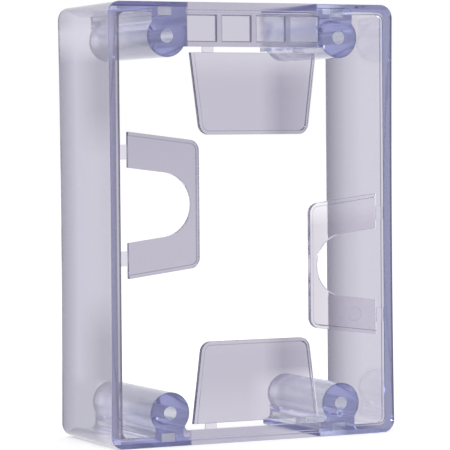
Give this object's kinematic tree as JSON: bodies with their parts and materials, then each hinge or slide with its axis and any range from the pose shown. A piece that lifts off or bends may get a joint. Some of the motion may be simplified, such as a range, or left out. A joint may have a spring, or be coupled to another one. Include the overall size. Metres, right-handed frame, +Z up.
{
  "type": "open spacer frame for a thermostat cover",
  "caption": "Open rectangular spacer frame in clear polycarbonate, with full-depth screw posts at the corners and break-off tabs on thin webs.",
  "frame": {"origin": "middle of the bottom face, half-way through the depth", "axes": "+Z up the height, +X across the width, -Y out of the near face that holds the tabs"},
  "size_m": [0.1298, 0.054, 0.18],
  "materials": {
    "clear_wall": "clear polycarbonate, as moulded, faint lavender tint that reads blue-violet through long paths",
    "clear_post": "clear polycarbonate, as moulded, faint lavender tint that reads blue-violet through long paths",
    "clear_flange": "clear polycarbonate, as moulded, faint lavender tint that reads blue-violet through long paths",
    "clear_panel": "clear polycarbonate, as moulded, faint lavender tint that reads blue-violet through long paths",
    "clear_tab": "clear polycarbonate, as moulded, faint lavender tint that reads blue-violet through long paths",
    "clear_web": "clear polycarbonate, as moulded, faint lavender tint that reads blue-violet through long paths"
  },
  "bodies": {
    "frame": {"left_side_channel": "clear_wall", "right_side_channel": "clear_wall", "top_flange": "clear_flange", "bottom_flange": "clear_flange", "post_top_left": "clear_post", "post_top_right": "clear_post", "post_bottom_left": "clear_post", "post_bottom_right": "clear_post", "window_panel_1": "clear_panel", "window_panel_2": "clear_panel", "window_panel_3": "clear_panel", "window_panel_4": "clear_panel", "top_tab_left_web": "clear_web", "top_tab_right_web": "clear_web", "bottom_tab_left_web": "clear_web", "bottom_tab_right_web": "clear_web", "left_tab_upper_web": "clear_web", "left_tab_lower_web": "clear_web", "right_tab_upper_web": "clear_web", "right_tab_lower_web": "clear_web"},
    "top_tab": {"top_tab": "clear_tab"},
    "bottom_tab": {"bottom_tab": "clear_tab"},
    "left_tab": {"left_tab": "clear_tab"},
    "right_tab": {"right_tab": "clear_tab"}
  },
  "joints": [
    {"name": "top_tab_bend", "type": "hinge", "parent": "frame", "child": "top_tab", "pos_m": [0, -0.0264, 0.16075], "axis": [1, 0, 0], "range_deg": [-30, 30], "stiffness_Nm_per_rad": 0.15, "deforming": ["top_tab_left_web", "top_tab_right_web"]},
    {"name": "bottom_tab_bend", "type": "hinge", "parent": "frame", "child": "bottom_tab", "pos_m": [0, -0.0264, 0.00735], "axis": [-1, 0, 0], "range_deg": [-30, 30], "stiffness_Nm_per_rad": 0.15, "deforming": ["bottom_tab_left_web", "bottom_tab_right_web"]},
    {"name": "left_tab_bend", "type": "hinge", "parent": "frame", "child": "left_tab", "pos_m": [-0.05835, -0.0264, 0.0981], "axis": [0, 0, 1], "range_deg": [-30, 30], "stiffness_Nm_per_rad": 0.12, "deforming": ["left_tab_upper_web", "left_tab_lower_web"]},
    {"name": "right_tab_bend", "type": "hinge", "parent": "frame", "child": "right_tab", "pos_m": [0.05835, -0.0264, 0.0714], "axis": [0, 0, -1], "range_deg": [-30, 30], "stiffness_Nm_per_rad": 0.12, "deforming": ["right_tab_upper_web", "right_tab_lower_web"]}
  ]
}
